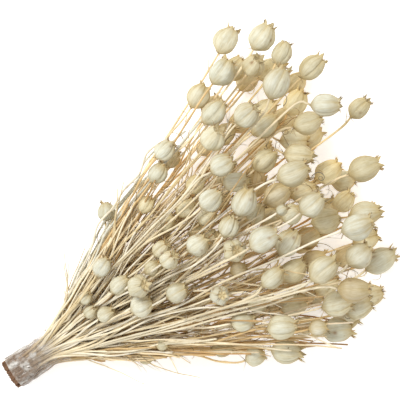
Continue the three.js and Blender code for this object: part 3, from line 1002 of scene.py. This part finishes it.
def plant_material(name, streaks, speck_scale, roughness, bump_distance):
    """Dried plant skin: its own tint, with fine streaks along the grain and a few dark specks."""
    nodes = Nodes(name)
    tint = nodes.add("ShaderNodeAttribute", attribute_name="tint").outputs["Color"]
    grain = nodes.add("ShaderNodeAttribute", attribute_name="grain").outputs["Vector"]
    position = nodes.add("ShaderNodeTexCoord").outputs["Object"]
    streak = nodes.noise(grain, 9.0, 5.0)
    mottle = nodes.noise(position, 140.0, 4.0)
    specks = nodes.noise(position, speck_scale, 2.0)
    streaked = nodes.ramp(streak, [(0.3, streaks), (0.62, (1.0, 1.0, 1.0))])
    mottled = nodes.ramp(mottle, [(0.3, (0.9, 0.87, 0.8)), (0.6, (1.0, 1.0, 1.0))])
    speckled = nodes.ramp(specks, [(0.2, (0.4, 0.3, 0.2)), (0.26, (1.0, 1.0, 1.0))])
    color = nodes.multiply(nodes.multiply(nodes.multiply(tint, streaked), mottled), speckled)
    nodes.link(color, nodes.shader.inputs["Base Color"])
    rough = nodes.add("ShaderNodeMapRange")
    rough.inputs["To Min"].default_value = roughness - 0.08
    rough.inputs["To Max"].default_value = roughness + 0.12
    nodes.link(mottle, rough.inputs["Value"])
    nodes.link(rough.outputs["Result"], nodes.shader.inputs["Roughness"])
    nodes.shader.inputs["Specular IOR Level"].default_value = 0.35
    nodes.bump(streak, 0.5, bump_distance)
    return nodes.material


def wrap_material():
    """Thin clear film, brownish where it is clearest, with pale, less see-through patches that are
    painted highlights.
    """
    nodes = Nodes("clear_film")
    position = nodes.add("ShaderNodeTexCoord").outputs["Object"]
    milk_and_painted_highlights = nodes.noise(position, 120.0, 6.0)
    creases = nodes.noise(position, 420.0, 3.0)
    # Painted highlights: where the noise is high, the film's colour turns pale and it is less
    # see-through
    color = nodes.ramp(milk_and_painted_highlights, [(0.45, (0.42, 0.33, 0.25)), (0.64, (0.78, 0.75, 0.69))])
    specks = nodes.ramp(
        nodes.noise(position, 230.0, 1.0), [(0.27, (0.05, 0.04, 0.03)), (0.3, (1.0, 1.0, 1.0))]
    )
    nodes.link(nodes.multiply(color, specks), nodes.shader.inputs["Base Color"])
    alpha = nodes.ramp(milk_and_painted_highlights, [(0.45, (0.24, 0.24, 0.24)), (0.66, (0.58, 0.58, 0.58))])
    covered = nodes.add("ShaderNodeMath", operation="MULTIPLY")
    nodes.link(alpha, covered.inputs[0])
    cover = nodes.add("ShaderNodeAttribute", attribute_name="cover")
    nodes.link(cover.outputs["Fac"], covered.inputs[1])
    nodes.link(covered.outputs["Value"], nodes.shader.inputs["Alpha"])
    nodes.shader.inputs["Roughness"].default_value = 0.16
    nodes.shader.inputs["Specular IOR Level"].default_value = 0.7
    nodes.bump(creases, 0.6, 0.0006)
    return nodes.material


def floor_material():
    """A matt near-white surface that glows a little, so that it stays pale under the bunch."""
    nodes = Nodes("pale_surface")
    position = nodes.add("ShaderNodeTexCoord").outputs["Object"]
    clouds = nodes.noise(position, 3.0)
    color = nodes.ramp(clouds, [(0.3, (0.94, 0.94, 0.935)), (0.7, (0.955, 0.955, 0.95))])
    nodes.link(color, nodes.shader.inputs["Base Color"])
    nodes.shader.inputs["Roughness"].default_value = 0.9
    nodes.shader.inputs["Specular IOR Level"].default_value = 0.1
    nodes.shader.inputs["Emission Color"].default_value = (1.0, 0.995, 0.985, 1.0)
    nodes.shader.inputs["Emission Strength"].default_value = 0.45
    return nodes.material


# ---------------------------------------------------------------- the studio


def build_floor():
    """The plain surface, just below the bunch."""
    mesh = bpy.data.meshes.new("surface")
    half = 6.0
    corners = [(-half, -half, 0), (half, -half, 0), (half, half, 0), (-half, half, 0)]
    mesh.from_pydata(corners, [], [(0, 1, 2, 3)])
    mesh.materials.append(floor_material())
    floor = bpy.data.objects.new("surface", mesh)
    floor.location.z = -0.0003
    bpy.context.scene.collection.objects.link(floor)


def build_camera():
    """Straight down over the bunch, turned so that its length rises across the picture."""
    data = bpy.data.cameras.new("camera")
    data.lens = LENS
    data.sensor_width = SENSOR
    camera = bpy.data.objects.new("camera", data)
    bpy.context.scene.collection.objects.link(camera)
    tilt = math.radians(IMAGE_TILT)
    right = Vector((math.cos(tilt), -math.sin(tilt), 0))
    up = Vector((math.sin(tilt), math.cos(tilt), 0))
    distance = VIEW_WIDTH * MM * LENS / SENSOR
    centre = Vector(APEX) + Vector((*VIEW_CENTRE, 0)) * MM
    centre.z = VIEW_HEIGHT * MM + distance
    matrix = Matrix((right, up, Vector((0, 0, 1)))).transposed().to_4x4()
    matrix.translation = centre
    camera.matrix_world = matrix
    bpy.context.scene.camera = camera


def build_lights():
    """A bright even surround and one large soft lamp from the picture's upper left."""
    scene = bpy.context.scene
    world = bpy.data.worlds.new("studio")
    world.use_nodes = True
    world.node_tree.nodes["Background"].inputs["Color"].default_value = (1.0, 1.0, 1.0, 1.0)
    world.node_tree.nodes["Background"].inputs["Strength"].default_value = 0.81
    scene.world = world
    lamp = bpy.data.lights.new("key", "AREA")
    lamp.shape = "DISK"
    lamp.size = 0.6
    lamp.energy = 18
    key = bpy.data.objects.new("key", lamp)
    key.location = (-0.25, 0.9, 1.5)
    key.rotation_euler = (Vector((0, 0, 0.05)) - key.location).to_track_quat("-Z", "Y").to_euler()
    scene.collection.objects.link(key)
    scene.view_settings.view_transform = "Standard"


build_camera()
build_lights()
build_floor()
pods_look = plant_material("papery_pod", (0.84, 0.79, 0.68), 260.0, 0.5, 0.0008)
straw_look = plant_material("dry_straw", (0.82, 0.75, 0.64), 300.0, 0.6, 0.0003)
skins = [pods_look, straw_look]
for layer_name in BOTTOM_TO_TOP:
    for sprig_index in range(len(LAYERS[layer_name][5])):
        build_sprig(layer_name, sprig_index, skins)
for piece_index in range(BARE_PIECES):
    build_bare_stems(piece_index, skins)
build_twigs(skins)
build_strays(skins)
build_top_stems(skins)
build_wisps(skins)
build_wrap(wrap_material())
